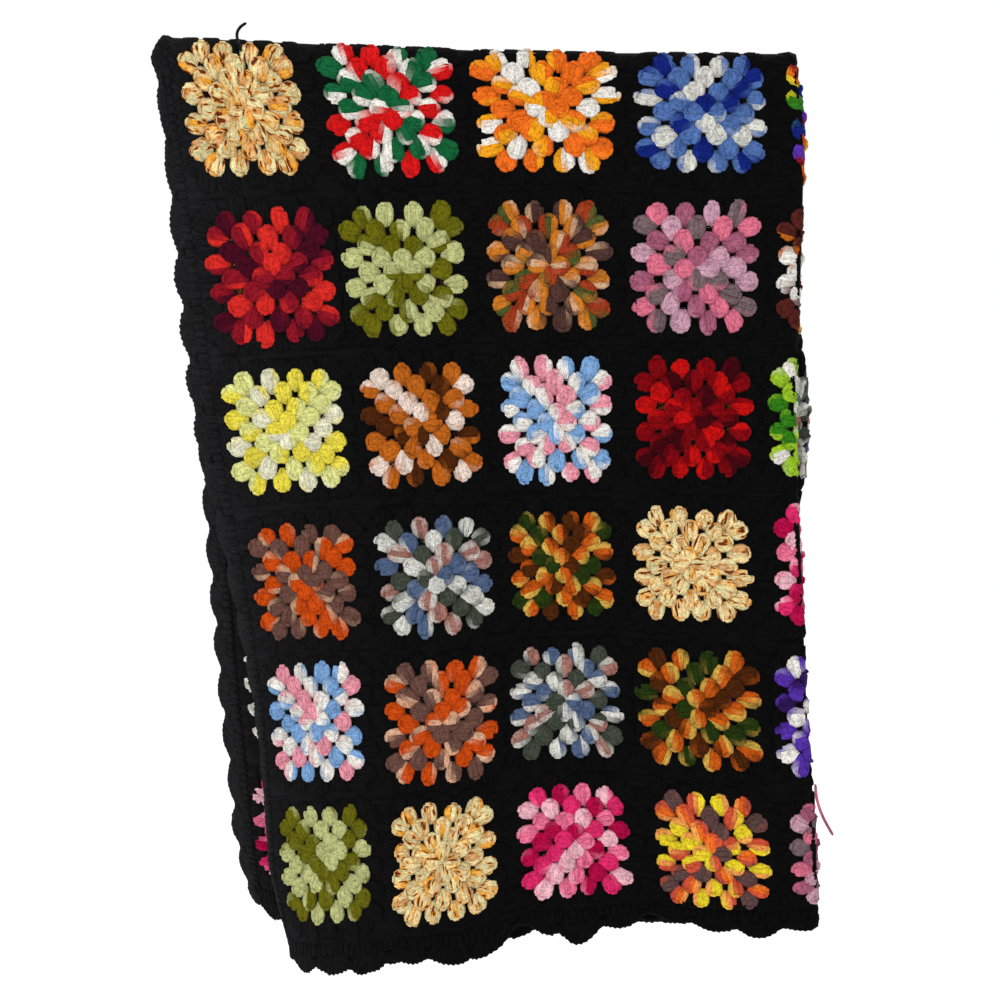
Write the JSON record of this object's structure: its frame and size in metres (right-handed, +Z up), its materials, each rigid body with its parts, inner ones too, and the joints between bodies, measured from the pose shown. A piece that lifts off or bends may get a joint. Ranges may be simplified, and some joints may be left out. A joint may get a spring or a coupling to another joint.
{
  "type": "granny square blanket",
  "caption": "Crocheted blanket of multicoloured squares joined in black with a scalloped fan edging, folded lengthwise and hung in half from its top fold.",
  "frame": {"origin": "on the underside of the top fold, halfway along it, where the line that it hangs over bears", "axes": "+Z up, out of the top fold; the front, with the lengthwise fold at its right-hand edge, faces -Y; +X runs along the hanging line towards that fold"},
  "size_m": [0.6668, 0.1318, 0.9574],
  "materials": {
    "blanket_yarn": "matte acrylic yarn, squares in mixed colours joined in black",
    "pink_mauve_yarn": "matte acrylic yarn, dyed in short stretches of pink and mauve",
    "black_yarn": "matte acrylic yarn"
  },
  "bodies": {
    "root": {"blanket": "blanket_yarn", "side_yarn_end": "pink_mauve_yarn", "top_yarn_end": "black_yarn"}
  },
  "joints": []
}
